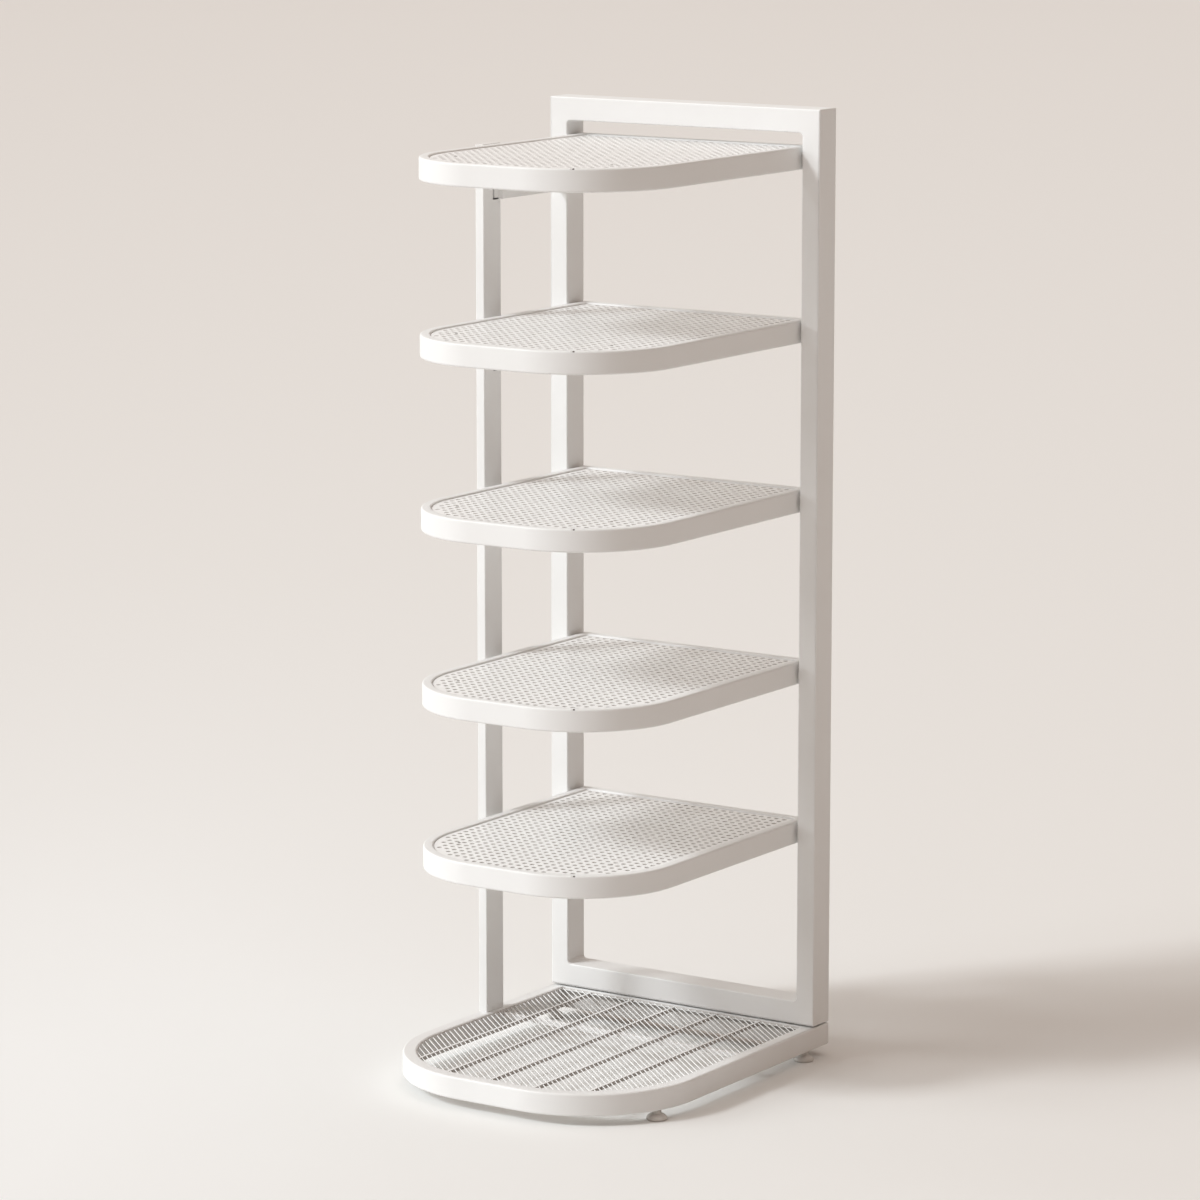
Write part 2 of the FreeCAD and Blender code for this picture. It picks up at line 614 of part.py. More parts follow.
def foot_places():
    """Plan position of each foot, on the middle line of the base hoop's tube."""
    places = {}
    middle = "(sizes.base_rim_width / 2)"
    bend = f"(sizes.base_radius - {middle})"
    for name, side in SIDES.items():
        front_x = (f"{side} * ({HALF_WIDTH} - sizes.base_radius"
                   f" + sqrt({bend} * {bend} - sizes.front_foot_reach * sizes.front_foot_reach))")
        front_y = f"{FRONT} + sizes.base_radius - sizes.front_foot_reach"
        places[f"front_{name}"] = (front_x, front_y)
        places[f"rear_{name}"] = (f"{side} * ({HALF_WIDTH} - {middle})", f"{REAR} - sizes.rear_foot_inset")
    return places


FEET = foot_places()


def facetted(stations, sides):
    """A round solid with flat sides, through rings given as diameter and height."""
    turn = 2 * math.pi / sides
    rings = []
    for diameter, height in stations:
        spoke, lift = number(diameter) / 2, Vector(0, 0, number(height))
        rings.append([lift + Vector(math.cos(turn * i), math.sin(turn * i), 0) * spoke for i in range(sides)])
    faces = [Part.Face(Part.makePolygon(ring + ring[:1])) for ring in (rings[0], rings[-1])]
    for low, high in zip(rings, rings[1:]):
        for i in range(sides):
            after = (i + 1) % sides
            faces.append(Part.Face(Part.makePolygon([low[i], low[after], high[after], high[i], low[i]])))
    return Part.makeSolid(Part.makeShell(faces))


def column(name, radius, x, y, low, high):
    piece = doc.addObject("Part::Cylinder", name)
    piece.setExpression("Radius", radius)
    piece.setExpression("Height", f"{high} - {low}")
    place(piece, x, y, low)
    return piece


def make_foot(name, x, y):
    """A domed pad that turns on the end of its stud."""
    neck_top = "(sizes.foot_height - sizes.foot_gap)"
    dome = doc.addObject("Part::Feature", "foot_dome")
    dome.Shape = facetted([
        ("sizes.foot_diameter", "0"),
        ("sizes.foot_brow_diameter", "sizes.foot_brow"),
        ("sizes.foot_neck_diameter", "sizes.foot_shoulder"),
        ("sizes.foot_neck_diameter", neck_top),
    ], int(number("sizes.foot_sides")))
    place(dome, x, y)
    foot_pad = keep(doc.addObject("Part::Cut", f"foot_pad_{name}"), f"foot_pad_{name}")
    foot_pad.Base = dome
    foot_pad.Tool = column("foot_bore", STUD_BORE_RADIUS, x, y, "sizes.foot_floor", neck_top)
    stud_top = "(sizes.foot_floor + sizes.stud_length)"
    stud = column(f"foot_stud_{name}", "sizes.stud_diameter / 2", x, y, "sizes.foot_floor", stud_top)
    keep(stud, f"foot_stud_{name}")


make_base_rim()
make_rack()
make_frame()
make_post()
solid = panel_solid()
for tier in TIERS:
    make_shelf_rim(tier)
    make_panel(tier, solid)
    make_shelf_rail(tier)
    make_shelf_lugs(tier)
for name, (x, y) in FEET.items():
    make_foot(name, x, y)
doc.recompute()

for item in doc.Objects:
    if "Invalid" in item.State or "Error" in item.State:
        raise ValueError(f"{item.Label} failed: {item.State}")
for piece in sub_parts:
    if piece.Shape.isNull() or not piece.Shape.isValid():
        raise ValueError(f"{piece.Label} has no valid shape")
os.makedirs("parts", exist_ok=True)
for piece in sub_parts:
    piece.Shape.exportStep(f"parts/{piece.Label}.step")
print(len(sub_parts), "sub-parts")
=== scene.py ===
import math
import bpy
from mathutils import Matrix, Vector
from mathutils.geometry import delaunay_2d_cdt, tessellate_polygon


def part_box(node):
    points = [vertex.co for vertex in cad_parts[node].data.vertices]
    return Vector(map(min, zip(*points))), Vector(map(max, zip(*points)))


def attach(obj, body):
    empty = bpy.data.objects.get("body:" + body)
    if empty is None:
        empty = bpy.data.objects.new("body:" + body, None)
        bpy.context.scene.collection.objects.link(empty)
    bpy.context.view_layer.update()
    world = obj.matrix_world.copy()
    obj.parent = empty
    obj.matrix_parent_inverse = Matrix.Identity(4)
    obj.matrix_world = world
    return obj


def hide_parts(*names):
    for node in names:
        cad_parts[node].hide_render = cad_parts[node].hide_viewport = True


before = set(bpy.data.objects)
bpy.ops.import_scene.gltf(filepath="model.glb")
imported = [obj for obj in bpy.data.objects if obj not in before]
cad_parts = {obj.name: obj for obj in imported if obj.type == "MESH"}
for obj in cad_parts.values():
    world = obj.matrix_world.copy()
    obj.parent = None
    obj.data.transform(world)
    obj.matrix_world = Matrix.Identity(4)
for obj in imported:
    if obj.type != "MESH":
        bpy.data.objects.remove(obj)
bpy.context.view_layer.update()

# Shoe tower: the look of each piece, in the same frame as the solids.
# Helpers take millimetres; a mesh is made in metres.
MM = 0.001
TIERS = range(1, 6)
RACK_BARS = range(1, 6)
FEET = ("front_left", "front_right", "rear_left", "rear_right")


def span(node):
    """Lowest and highest corner of a solid at rest, in millimetres."""
    low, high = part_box(node)
    return [value / MM for value in low], [value / MM for value in high]


# Materials

# Most of a noise's values lie between these
NOISE_LOW, NOISE_HIGH = 0.3, 0.7
BLOTCH_DETAIL = 3
GRAIN_DETAIL = 2
GRAIN_STRENGTH = 0.35


def new_material(name):
    material = bpy.data.materials.new(name)
    material.use_nodes = True
    nodes, links = material.node_tree.nodes, material.node_tree.links
    return material, nodes, links, nodes["Principled BSDF"]


def noise(nodes, links, scale, detail, source):
    texture = nodes.new("ShaderNodeTexNoise")
    texture.inputs["Scale"].default_value = scale
    texture.inputs["Detail"].default_value = detail
    links.new(source, texture.inputs["Vector"])
    return texture.outputs["Fac"]


def ramp(nodes, links, factor, stops):
    """A colour ramp from (position, colour) stops."""
    node = nodes.new("ShaderNodeValToRGB")
    elements = node.color_ramp.elements
    while len(elements) < len(stops):
        elements.new(0.5)
    for element, (position, colour) in zip(elements, stops):
        element.position = position
        element.color = (*colour, 1)
    links.new(factor, node.inputs["Fac"])
    return node.outputs["Color"]


def spread(nodes, links, factor, low, high, first=NOISE_LOW, last=NOISE_HIGH):
    """The factor's stretch from first to last, mapped to low and high."""
    node = nodes.new("ShaderNodeMapRange")
    for name, value in (("From Min", first), ("From Max", last), ("To Min", low), ("To Max", high)):
        node.inputs[name].default_value = value
    links.new(factor, node.inputs["Value"])
    return node.outputs["Result"]


def bump(nodes, links, shader, height, distance, strength):
    node = nodes.new("ShaderNodeBump")
    node.inputs["Distance"].default_value = distance
    node.inputs["Strength"].default_value = strength
    links.new(height, node.inputs["Height"])
    links.new(node.outputs["Normal"], shader.inputs["Normal"])


def grained(name, dark, pale, rough, blotch, grain, depth, metallic=0.0, specular=0.5):
    """A finish with soft blotches of tone, a fine grain in its relief and a gloss that varies with the grain.

    blotch and grain are noise scales, depth is the relief in metres.
    """
    material, nodes, links, shader = new_material(name)
    position = nodes.new("ShaderNodeNewGeometry").outputs["Position"]
    tone = noise(nodes, links, blotch, BLOTCH_DETAIL, position)
    fine = noise(nodes, links, grain, GRAIN_DETAIL, position)
    links.new(ramp(nodes, links, tone, [(NOISE_LOW, dark), (NOISE_HIGH, pale)]), shader.inputs["Base Color"])
    links.new(spread(nodes, links, fine, *rough), shader.inputs["Roughness"])
    bump(nodes, links, shader, fine, depth, GRAIN_STRENGTH)
    shader.inputs["Metallic"].default_value = metallic
    shader.inputs["Specular IOR Level"].default_value = specular
    return material


COAT = grained("white_powder_coat", dark=(0.826, 0.827, 0.817), pale=(0.855, 0.859, 0.853),
               rough=(0.40, 0.54), blotch=9, grain=900, depth=0.0002, specular=0.4)
CAP = grained("white_moulded_cap", dark=(0.78, 0.765, 0.74), pale=(0.82, 0.805, 0.785),
              rough=(0.36, 0.48), blotch=60, grain=1500, depth=0.0001)
GLIDE = grained("grey_moulded_glide", dark=(0.58, 0.56, 0.53), pale=(0.65, 0.63, 0.60),
                rough=(0.42, 0.58), blotch=120, grain=1600, depth=0.0001)
STEEL = grained("zinc_plated_steel", dark=(0.52, 0.52, 0.53), pale=(0.66, 0.66, 0.66),
                rough=(0.24, 0.42), blotch=180, grain=2500, depth=0.00005, metallic=1.0)
RUBBER = grained("dark_rubber", dark=(0.05, 0.048, 0.046), pale=(0.075, 0.072, 0.07),
                 rough=(0.7, 0.86), blotch=200, grain=1400, depth=0.0001)
# Painted shade: a dark mark at each rim's joint, for the shade in a notch there
SEAM_SHADE = grained("seam_shade", dark=(0.10, 0.09, 0.08), pale=(0.16, 0.15, 0.14),
               rough=(0.6, 0.75), blotch=400, grain=2500, depth=0.0001)
BRIGHT = grained("bright_white_coat", dark=(0.92, 0.919, 0.912), pale=(0.95, 0.950, 0.945),
                 rough=(0.38, 0.52), blotch=9, grain=900, depth=0.0001)
# Painted shade: a darker copy of the white coat, for the shade on the base hoop's inward faces
INNER_SHADE = grained("painted_inner_shade", dark=(0.62, 0.605, 0.585), pale=(0.69, 0.675, 0.655),
                rough=(0.5, 0.66), blotch=30, grain=900, depth=0.0002, specular=0.3)
# Painted shade: a dark copy of the coat, for the shadow gap along the rack's rear and the shadow round the sheets'
# rivets
EDGE_SHADE = grained("painted_edge_shade", dark=(0.24, 0.225, 0.21), pale=(0.33, 0.315, 0.295),
                   rough=(0.42, 0.58), blotch=150, grain=2200, depth=0.00005)
# Painted shade: a darker copy of the coat on the rack bars' sides, for the shade below the wires
BAR_SIDE_SHADE = grained("shaded_bar_side", dark=(0.38, 0.35, 0.325), pale=(0.47, 0.44, 0.415),
                   rough=(0.5, 0.65), blotch=150, grain=2200, depth=0.00005)
# Painted shade: a darker copy of the coat on the sheets' upright walls, for the shade inside the holes and along
# the edge
HOLE_WALL_SHADE = grained("painted_hole_shade", dark=(0.54, 0.525, 0.505), pale=(0.64, 0.625, 0.605),
                       rough=(0.5, 0.65), blotch=300, grain=2400, depth=0.00005)


# Meshes

CREASE = math.radians(35)
UPRIGHT_LIMIT = 0.5
SHARPEST_MITRE = 0.2
BLOCK_CORNER_STEPS = 3
EASED_EDGE_STEPS = 2


def make(name, vertices, faces, material, body="tower", slot="white_coat", node=None, second=None, where=None):
    """One piece from vertices in millimetres, smooth except where two faces meet at more than the crease angle.

    The faces that the function where picks take the second material.
    """
    mesh = bpy.data.meshes.new(name)
    mesh.from_pydata([(x * MM, y * MM, z * MM) for x, y, z in vertices], [], faces)
    mesh.validate()
    mesh.materials.append(material)
    if second:
        mesh.materials.append(second)
        for polygon in mesh.polygons:
            polygon.material_index = int(where(polygon))
    mesh.shade_smooth()
    mesh.set_sharp_from_angle(angle=CREASE)
    piece = bpy.data.objects.new(name, mesh)
    bpy.context.scene.collection.objects.link(piece)
    even = piece.modifiers.new("even_normals", "WEIGHTED_NORMAL")
    even.keep_sharp = True
    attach(piece, body)
    if node:
        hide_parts(*([node] if isinstance(node, str) else node))
    return piece


def upright(polygon):
    return abs(polygon.normal.z) < UPRIGHT_LIMIT


def faces_inwards(polygon):
    return upright(polygon) and polygon.normal.xy.dot(polygon.center.xy) < 0


def inset_loop(points, inset):
    """A closed outline moved to its left by inset, with mitred corners."""
    count = len(points)
    moved = []
    for i, (x, y) in enumerate(points):
        before, after = points[i - 1], points[(i + 1) % count]
        first = Vector((x - before[0], y - before[1])).normalized()
        second = Vector((after[0] - x, after[1] - y)).normalized()
        left = Vector((-first.y - second.y, first.x + second.x)).normalized()
        stretch = inset / max(SHARPEST_MITRE, left.dot(Vector((-first.y, first.x))))
        moved.append((x + left.x * stretch, y + left.y * stretch))
    return moved


def rounded(height, radius, steps=4):
    """Inset and height along the edge of a plate whose lower and upper edges are rounded."""
    turns = [math.pi / 2 * i / steps for i in range(steps + 1)]
    lower = [(radius * (1 - math.sin(t)), radius * (1 - math.cos(t))) for t in turns]
    upper = [(radius * (1 - math.cos(t)), height - radius * (1 - math.sin(t))) for t in turns]
    return lower + upper


def plate(loops, profile, lift):
    """Vertices and faces of a plate; each outline has the plate on its left, lift gives a place from u, v, h."""
    vertices, faces, starts = [], [], []
    for loop in loops:
        starts.append(len(vertices))
        for inset, height in profile:
            vertices += [lift(u, v, height) for u, v in inset_loop(loop, inset)]
        count = len(loop)
        for ring in range(len(profile) - 1):
            low = starts[-1] + ring * count
            for i in range(count):
                after = (i + 1) % count
                faces.append((low + i, low + after, low + count + after, low + count + i))
    for ring, top in ((0, False), (len(profile) - 1, True)):
        outlines = [inset_loop(loop, profile[ring][0]) for loop in loops]
        index = [start + ring * len(loop) + i for start, loop in zip(starts, loops) for i in range(len(loop))]
        flat = [point for outline in outlines for point in outline]
        for a, b, c in tessellate_polygon([[Vector((u, v, 0)) for u, v in outline] for outline in outlines]):
            area = ((flat[b][0] - flat[a][0]) * (flat[c][1] - flat[a][1])
                    - (flat[b][1] - flat[a][1]) * (flat[c][0] - flat[a][0]))
            turn = (a, b, c) if (area > 0) == top else (a, c, b)
            faces.append(tuple(index[i] for i in turn))
    return vertices, faces


def join(*meshes):
    vertices, faces = [], []
    for more_vertices, more_faces in meshes:
        start = len(vertices)
        vertices += more_vertices
        faces += [tuple(start + i for i in face) for face in more_faces]
    return vertices, faces


def arc(x, y, radius, first, last, steps):
    turn = math.radians(last - first) / steps
    start = math.radians(first)
    return [(x + radius * math.cos(start + turn * i), y + radius * math.sin(start + turn * i))
            for i in range(steps + 1)]


def bow(half, front, rear, radius, corner=1.5, steps=40, corner_steps=4):
    """A tier's plan, anticlockwise: nearly square at the rear, with two round corners at the front."""
    return (arc(corner - half, rear - corner, corner, 90, 180, corner_steps)
            + arc(radius - half, front + radius, radius, 180, 270, steps)
            + arc(half - radius, front + radius, radius, 270, 360, steps)
            + arc(half - corner, rear - corner, corner, 0, 90, corner_steps))


def round_box(left, right, low, high, radius, steps=5):
    return (arc(right - radius, low + radius, radius, 270, 360, steps)
            + arc(right - radius, high - radius, radius, 0, 90, steps)
            + arc(left + radius, high - radius, radius, 90, 180, steps)
            + arc(left + radius, low + radius, radius, 180, 270, steps))


def upwards(z):
    """Lays a plate's outline flat, with its height going up from z."""
    return lambda u, v, h: (u, v, z + h)


def forwards(y):
    """Stands a plate's outline up, with its height going to the front from y."""
    return lambda u, v, h: (u, y - h, v)


def block(low, high, radius=0.4):
    """A box with rounded edges."""
    outline = round_box(low[0], high[0], low[1], high[1], radius, BLOCK_CORNER_STEPS)
    return plate([outline], rounded(high[2] - low[2], radius, EASED_EDGE_STEPS), upwards(low[2]))


# Base hoop and shelf rims

BASE_RIM = 14
BASE_REAR_RIM = 30
BASE_RADIUS = 120
BASE_EDGE = 2.2
SHELF_RADIUS = 100
RIM_WIDTH = 10
RIM_EDGE = 2.0
HOOP_INNER_CORNER = 2.5
HOOP_EDGE_STEPS = 5

# Tabs under a panel: from the rim's outer face, from its rear, from its front
TAB_ROOT, TAB_TIP = 9, 18
TAB_REAR = (35, 55)
TAB_FRONT = (135, 155)
TAB_HALF = 10
TAB_THICKNESS = 1.5
TAB_CLEAR = 0.02
TAB_EDGE = 0.3


def hoop(low, high, radius, width, rear_width, edge):
    half = high[0]
    outer = bow(half, low[1], high[1], radius)
    inner = bow(half - width, low[1] + width, high[1] - rear_width, radius - width, corner=HOOP_INNER_CORNER)
    return plate([outer, inner[::-1]], rounded(high[2] - low[2], edge, HOOP_EDGE_STEPS), upwards(low[2]))


def shelf_tabs(low, high, panel_low):
    """Six tabs inside a shelf rim: two on each side, one at the front and one at the rear."""
    left, front = low[:2]
    right, rear = high[:2]
    beside = ((rear - TAB_REAR[1], rear - TAB_REAR[0]), (front + TAB_FRONT[0], front + TAB_FRONT[1]))
    plans = []
    for across in ((left + TAB_ROOT, left + TAB_TIP), (right - TAB_TIP, right - TAB_ROOT)):
        plans += [(across, along) for along in beside]
    for along in ((front + TAB_ROOT, front + TAB_TIP), (rear - TAB_TIP, rear - TAB_ROOT)):
        plans.append(((-TAB_HALF, TAB_HALF), along))
    bottom, top = panel_low - TAB_THICKNESS, panel_low - TAB_CLEAR
    return [block((x[0], y[0], bottom), (x[1], y[1], top), TAB_EDGE) for x, y in plans]


BASE_LOW, BASE_HIGH = span("base_rim")
# The hoop's faces that look inwards take the painted inner shade
make("base_hoop", *hoop(BASE_LOW, BASE_HIGH, BASE_RADIUS, BASE_RIM, BASE_REAR_RIM, BASE_EDGE), COAT,
     node="base_rim", second=INNER_SHADE, where=faces_inwards)
for tier in TIERS:
    low, high = span(f"shelf_rim_{tier}")
    rim = hoop(low, high, SHELF_RADIUS, RIM_WIDTH, RIM_WIDTH, RIM_EDGE)
    tabs = shelf_tabs(low, high, span(f"shelf_panel_{tier}")[0][2])
    make(f"shelf_hoop_{tier}", *join(rim, *tabs), COAT, node=f"shelf_rim_{tier}")


# Perforated panels

HOLE_RADIUS = 2.5
HOLE_SIDES = 12
PITCH_X, PITCH_Y = 8.8, 9.8
HOLE_MARGIN = 4.3
# A triangle whose middle lies within this share of a hole's radius is in the hole
HOLE_MIDDLE = 0.96
PANEL_GAP = 0.6
PANEL_CORNER = 1.0
PANEL_STEPS = 32
# Points of a panel that lie closer than this count as one
NEAREST = 1e-6


def hole_centres(half, front, rear, radius):
    """Places of a square grid of holes that keep clear of the panel's edge."""
    middle = (front + rear) / 2
    columns = int(half // PITCH_X)
    rows = int((rear - front) / 2 // PITCH_Y)
    centres = []
    for column in range(-columns, columns + 1):
        for row in range(-rows, rows + 1):
            x, y = column * PITCH_X, middle + row * PITCH_Y
            past_x, past_y = abs(x) - (half - radius), front + radius - y
            room = min(half - abs(x), y - front, rear - y)
            if past_x > 0 and past_y > 0:
                room = min(room, radius - math.hypot(past_x, past_y))
            if room >= HOLE_MARGIN:
                centres.append((x, y))
    return centres


def perforated(low, high):
    """Vertices and faces of a sheet with a square grid of round holes, each hole cut right through."""
    half, front, rear = high[0], low[1], high[1]
    radius = SHELF_RADIUS - (RIM_WIDTH + PANEL_GAP)
    middle = (front + rear) / 2
    centres = hole_centres(half, front, rear, radius)
    loops = [bow(half, front, rear, radius, corner=PANEL_CORNER, steps=PANEL_STEPS)]
    loops += [arc(x, y, HOLE_RADIUS, 360, 0, HOLE_SIDES)[:-1] for x, y in centres]
    points, edges = [], []
    for loop in loops:
        start, count = len(points), len(loop)
        points += [Vector(point) for point in loop]
        edges += [(start + i, start + (i + 1) % count) for i in range(count)]
    flat, _, triangles, _, _, _ = delaunay_2d_cdt(points, edges, [], 0, NEAREST, True)
    if len(flat) != len(points):
        raise ValueError("the panel's outline changed on the way")
    holes = {(round(x / PITCH_X), round((y - middle) / PITCH_Y)) for x, y in centres}
    count = len(flat)
    vertices = [(p.x, p.y, low[2]) for p in flat] + [(p.x, p.y, high[2]) for p in flat]
    faces = []
    for triangle in triangles:
        a, b, c = (flat[i] for i in triangle)
        x, y = (a.x + b.x + c.x) / 3, (a.y + b.y + c.y) / 3
        cell = (round(x / PITCH_X), round((y - middle) / PITCH_Y))
        away = math.hypot(x - cell[0] * PITCH_X, y - middle - cell[1] * PITCH_Y)
        if cell in holes and away < HOLE_RADIUS * HOLE_MIDDLE:
            continue
        if (b - a).cross(c - a) < 0:
            triangle = triangle[::-1]
        faces.append(tuple(i + count for i in triangle))
        faces.append(tuple(triangle[::-1]))
    faces += [(a, b, b + count, a + count) for a, b in edges]
    return vertices, faces


# Each sheet's upright walls, in its holes and round its edge, take the painted hole shade
for tier in TIERS:
    make(f"perforated_sheet_{tier}", *perforated(*span(f"shelf_panel_{tier}")), BRIGHT,
         node=f"shelf_panel_{tier}", second=HOLE_WALL_SHADE, where=upright)


# Rear frame, welded and ground smooth

FRAME_RAIL = 23
FRAME_CORNER = 1.2
FRAME_INNER_CORNER = 3.8
FRAME_INNER_STEPS = 8
FRAME_EDGE = 1.5
low, high = span("left_upright")
frame_outer = round_box(low[0], -low[0], low[2], high[2], FRAME_CORNER)
frame_inner = round_box(high[0], -high[0], low[2] + FRAME_RAIL, high[2] - FRAME_RAIL, FRAME_INNER_CORNER,
                        FRAME_INNER_STEPS)
welded = plate([frame_outer, frame_inner[::-1]], rounded(high[1] - low[1], FRAME_EDGE), forwards(high[1]))
make("welded_frame", *welded, COAT, node=["left_upright", "right_upright", "top_rail", "bottom_rail"])


# Rack: round wires let into the tops of the bars

WIRE_TURN = math.radians(-41.7)
WIRE_RADIUS = 0.5
WIRE_SIDES = 8
# Share of the radius from a wire's end, and share of the radius that the wire has there
WIRE_END = ((0, 0.6), (0.25, 0.9), (0.6, 1.0))
UP = Vector((0, 0, 1))
# Decimals of a metre to which corners of a solid's mesh count as one
SAME_PLACE = 6


def rod(start, end, radius, sides=WIRE_SIDES):
    """A round rod with softly domed ends."""
    along = (end - start).normalized()
    across = along.cross(UP).normalized()
    over = across.cross(along)
    length = (end - start).length
    rings = [(share * radius, scale) for share, scale in WIRE_END]
    rings += [(length - share * radius, scale) for share, scale in WIRE_END[::-1]]
    vertices, faces = [], []
    for at, scale in rings:
        for i in range(sides):
            t = 2 * math.pi * i / sides
            point = start + along * at + (across * math.cos(t) + over * math.sin(t)) * radius * scale
            vertices.append(tuple(point))
    for ring in range(len(rings) - 1):
        near, far = ring * sides, (ring + 1) * sides
        for i in range(sides):
            after = (i + 1) % sides
            faces.append((near + i, far + i, far + after, near + after))
    faces.append(tuple(range(sides)))
    faces.append(tuple(range(len(rings) * sides - 1, (len(rings) - 1) * sides - 1, -1)))
    return vertices, faces


def loose_parts(node):
    """Corner points of each separate solid in a node, in millimetres."""
    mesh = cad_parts[node].data
    merged, index = {}, []
    for vertex in mesh.vertices:
        key = tuple(round(c, SAME_PLACE) for c in vertex.co)
        index.append(merged.setdefault(key, len(merged)))
    parent = list(range(len(merged)))

    def root(i):
        while parent[i] != i:
            parent[i] = parent[parent[i]]
            i = parent[i]
        return i

    for polygon in mesh.polygons:
        corners = [root(index[i]) for i in polygon.vertices]
        for other in corners[1:]:
            parent[root(other)] = root(corners[0])
    parts = {}
    for key, i in merged.items():
        parts.setdefault(root(i), []).append(Vector(key) / MM)
    return list(parts.values())


wire_way = Vector((math.cos(WIRE_TURN), math.sin(WIRE_TURN), 0))
wire_side = wire_way.cross(UP)
wire_middle = span("rack_wires")[0][2] + WIRE_RADIUS
rods = []
for corners in loose_parts("rack_wires"):
    middle = sum(corners, Vector()) / len(corners)
    reach = [(corner - middle).dot(wire_way) for corner in corners]
    sway = [(corner - middle).dot(wire_side) for corner in corners]
    centre = Vector((middle.x, middle.y, wire_middle)) + wire_side * (min(sway) + max(sway)) / 2
    rods.append(rod(centre + wire_way * min(reach), centre + wire_way * max(reach), WIRE_RADIUS))
make("rack_rods", *join(*rods), BRIGHT, node="rack_wires")

# How far a bar's underside and top, and the cross bar's top, lie above the solid's
BAR_LOW, BAR_TOP, CROSS_TOP = 0.3, 1.03, 1.0
BAR_EDGE = 0.2
CROSS_EDGE = 0.5
# Corners of a bar that lie this near to its side are on it
AT_SIDE = 0.05


def strip(node, edge):
    """A bar cut from coated strip, its front end slanted as the solid's is, its top level with the wires' tops."""
    low, high = span(node)
    corners = [vertex.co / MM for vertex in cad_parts[node].data.vertices]
    left, right = (min(c.y for c in corners if abs(c.x - x) < AT_SIDE) for x in (low[0], high[0]))
    outline = [(low[0], high[1]), (low[0], left), (high[0], right), (high[0], high[1])]
    bottom, top = low[2] + BAR_LOW, high[2] + BAR_TOP
    return plate([outline], rounded(top - bottom, edge, EASED_EDGE_STEPS), upwards(bottom))


# Each bar's top stays white and its upright sides take the painted bar-side shade
for bar in RACK_BARS:
    make(f"rack_runner_{bar}", *strip(f"rack_bar_{bar}", BAR_EDGE), BRIGHT, node=f"rack_bar_{bar}",
         second=BAR_SIDE_SHADE, where=upright)
low, high = span("rack_cross_bar")
high[2] += CROSS_TOP
make("rack_cross_runner", *block(low, high, CROSS_EDGE), BRIGHT, node="rack_cross_bar")

# A strip along the rear, under the wires' ends; its upright faces take a painted shade for the shadow gap under
# the frame
REAR_STRIP = 2.5
REAR_CLEAR = 0.05
low, high = span("rack_bar_1")
inside = BASE_HIGH[0] - BASE_RIM
rear_strip = block((-inside, high[1] - REAR_STRIP, low[2] + REAR_CLEAR),
                   (inside, high[1], high[2] - REAR_CLEAR), BAR_EDGE)
make("rack_rear_strip", *rear_strip, BRIGHT, second=EDGE_SHADE, where=upright)


# Feet

THREAD_PITCH = 1.0
THREAD_DEPTH = 0.45
THREAD_CREST = (0.42, 0.58)
THREAD_SIDES = 24
PLAIN_END = 1
CORE_CLEAR = 0.02
CORE_CHAMFER = 0.4
CORE_END = 0.8
# Radius and height of a glide, from the middle of its underside to the middle of its top
GLIDE_OUTLINE = [
    (0, 0), (8.3, 0), (9.3, 0.25), (9.85, 0.8), (10.0, 1.5), (9.9, 2.2), (9.55, 3.0), (8.9, 3.9), (8.0, 4.75),
    (6.9, 5.5), (5.9, 6.05), (5.1, 6.5), (4.65, 6.95), (4.5, 7.4), (4.5, 9.1), (4.25, 9.5), (0, 9.5),
]


def lathe(outline, x, y, sides=48):
    """A round piece from radius and height pairs; the first and last lie on the axis."""
    vertices, faces = [(x, y, outline[0][1])], []
    rings = outline[1:-1]
    turns = [2 * math.pi * i / sides for i in range(sides)]
    for radius, height in rings:
        vertices += [(x + radius * math.cos(t), y + radius * math.sin(t), height) for t in turns]
    vertices.append((x, y, outline[-1][1]))
    last = len(vertices) - 1
    for i in range(sides):
        after = (i + 1) % sides
        faces.append((0, 1 + after, 1 + i))
        for ring in range(len(rings) - 1):
            low, high = 1 + ring * sides, 1 + (ring + 1) * sides
            faces.append((low + i, low + after, high + after, high + i))
        top = 1 + (len(rings) - 1) * sides
        faces.append((top + i, top + after, last))
    return vertices, faces


def thread(radius, low, high, x, y):
    """A screw thread: rows of points that climb one pitch a turn round a core with blunt ends."""
    root = radius - THREAD_DEPTH
    crest = [(0.0, root), (THREAD_CREST[0], radius), (THREAD_CREST[1], radius), (1.0, root)]
    turns = int((high - low - 2 * PLAIN_END) / THREAD_PITCH)
    rows = []
    for step in range(turns * THREAD_SIDES + 1):
        angle = 2 * math.pi * step / THREAD_SIDES
        base = low + PLAIN_END + THREAD_PITCH * step / THREAD_SIDES
        rows.append([(x + r * math.cos(angle), y + r * math.sin(angle), base + THREAD_PITCH * share)
                     for share, r in crest])
    vertices = [point for row in rows for point in row]
    faces = []
    for step in range(len(rows) - 1):
        for i in range(len(crest) - 1):
            a = step * len(crest) + i
            b = a + len(crest)
            faces.append((a, b, b + 1, a + 1))
    core = root - CORE_CLEAR
    outline = [(0, low), (core * CORE_END, low), (core, low + CORE_CHAMFER),
               (core, high - CORE_CHAMFER), (core * CORE_END, high), (0, high)]
    return join((vertices, faces), lathe(outline, x, y, THREAD_SIDES))


for corner in FEET:
    low, high = span(f"foot_pad_{corner}")
    x, y = (low[0] + high[0]) / 2, (low[1] + high[1]) / 2
    make(f"glide_{corner}", *lathe(GLIDE_OUTLINE, x, y), GLIDE, body=f"pad_{corner}", slot="foot_plastic",
         node=f"foot_pad_{corner}")
    low, high = span(f"foot_stud_{corner}")
    make(f"screw_{corner}", *thread((high[0] - low[0]) / 2, low[2], high[2], x, y), STEEL, body=f"stud_{corner}",
         slot="stud_steel", node=f"foot_stud_{corner}")


